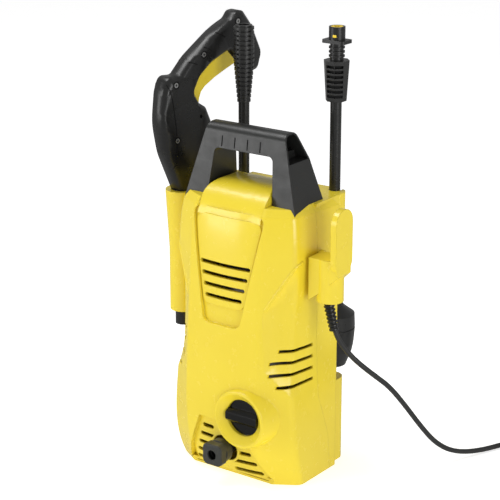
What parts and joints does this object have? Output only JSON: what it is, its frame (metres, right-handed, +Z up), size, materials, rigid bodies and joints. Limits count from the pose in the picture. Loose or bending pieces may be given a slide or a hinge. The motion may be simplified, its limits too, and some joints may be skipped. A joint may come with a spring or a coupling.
{
  "type": "pressure washer",
  "caption": "Upright electric pressure washer with arched carry handle, rotary switch, quick hose outlet, trigger gun in a side holster, two spray lances at the back and a mains lead.",
  "frame": {"origin": "middle of the flat base of the housing, on the floor", "axes": "+Z up along the machine's height, +X to the cable hook's side, -Y to the front with the switch and the hose outlet"},
  "size_m": [0.5242, 0.479, 0.561],
  "materials": {
    "housing_yellow": "satin moulded",
    "handle_black": "fine grained",
    "knob_black": "satin moulded",
    "trigger_yellow": "satin moulded",
    "lance_black": "satin moulded",
    "sleeve_grey": "satin moulded",
    "ring_yellow": "moulded",
    "cord_black": "matt sheath",
    "screw_steel": "plated",
    "pump_alloy": "die cast",
    "motor_steel": "laminated",
    "copper": "bare copper",
    "carbon": "pressed carbon",
    "inner_plastic": "moulded",
    "strainer": "fine mesh",
    "pin_brass": "nickel plated"
  },
  "bodies": {
    "machine": {"front_shell": "housing_yellow", "rear_shell": "housing_yellow", "carry_handle": "handle_black", "shell_screws": "screw_steel", "handle_screws": "screw_steel", "switch_block": "inner_plastic", "capacitor": "inner_plastic", "pump_head": "pump_alloy", "pump_block": "pump_alloy", "pump_bolts": "screw_steel", "pistons": "screw_steel", "swash_case": "pump_alloy", "lower_plate": "pump_alloy", "top_plate": "inner_plastic", "lower_bearing": "screw_steel", "upper_bearing": "screw_steel", "stator": "motor_steel", "carbon_brushes": "carbon", "outlet_socket": "pin_brass", "water_inlet": "lance_black", "inlet_filter": "strainer", "cord_boot": "cord_black", "power_cord": "cord_black", "cord_coil": "cord_black", "coil_tie": "cord_black", "plug_body": "cord_black", "plug_pins": "pin_brass"},
    "rotor": {"rotor_shaft": "motor_steel", "armature": "copper", "commutator": "copper", "cooling_fan": "inner_plastic", "swash_plate": "motor_steel"},
    "knob": {"switch_knob": "knob_black"},
    "sleeve": {"coupling_sleeve": "sleeve_grey"},
    "gun": {"gun_near_half": "handle_black", "gun_far_half": "handle_black", "gun_screws": "screw_steel", "gun_barrel": "lance_black", "hose_socket": "pin_brass", "trigger_pin": "screw_steel"},
    "gun_trigger": {"trigger": "trigger_yellow"},
    "gun_lock": {"trigger_lock": "trigger_yellow"},
    "rotor_lance": {"rotor_ring": "ring_yellow", "rotor_connector": "lance_black", "rotor_grip": "lance_black", "rotor_tube": "lance_black", "rotor_nozzle": "lance_black"},
    "vario_lance": {"vario_ring": "ring_yellow", "vario_connector": "lance_black", "vario_grip": "lance_black", "vario_tube": "lance_black", "vario_tip": "pin_brass"},
    "vario_twist": {"vario_head": "lance_black"}
  },
  "joints": [
    {"name": "motor_spin", "type": "hinge", "parent": "machine", "child": "rotor", "pos_m": [0, 0.002, 0.2], "axis": [0, 0, 1], "continuous": true},
    {"name": "switch_turn", "type": "hinge", "parent": "machine", "child": "knob", "pos_m": [0.0345, -0.07, 0.0925], "axis": [0, -1, 0], "range_deg": [-90, 0]},
    {"name": "sleeve_push", "type": "slide", "parent": "machine", "child": "sleeve", "axis": [0, 1, 0], "range_m": [0, 0.003], "stiffness_N_per_m": 2000, "springref_m": -0.001},
    {"name": "gun_lift", "type": "slide", "parent": "machine", "child": "gun", "axis": [0, 0, 1], "range_m": [0, 0.2]},
    {"name": "trigger_squeeze", "type": "hinge", "parent": "gun", "child": "gun_trigger", "pos_m": [-0.12031, 0.02659, 0.433], "axis": [0.9848, -0.1736, 0], "range_deg": [0, 10], "stiffness_Nm_per_rad": 3, "springref_deg": -5.16},
    {"name": "lock_slide", "type": "slide", "parent": "gun", "child": "gun_lock", "axis": [0, 0, 1], "range_m": [0, 0.004]},
    {"name": "rotor_lance_pull", "type": "slide", "parent": "machine", "child": "rotor_lance", "axis": [0, 1, 0], "range_m": [0, 0.12]},
    {"name": "vario_lance_pull", "type": "slide", "parent": "machine", "child": "vario_lance", "axis": [0, 1, 0], "range_m": [0, 0.12]},
    {"name": "vario_turn", "type": "hinge", "parent": "vario_lance", "child": "vario_twist", "pos_m": [-0.0695, 0.065, 0.5], "axis": [0, 0, 1], "range_deg": [0, 120]}
  ]
}
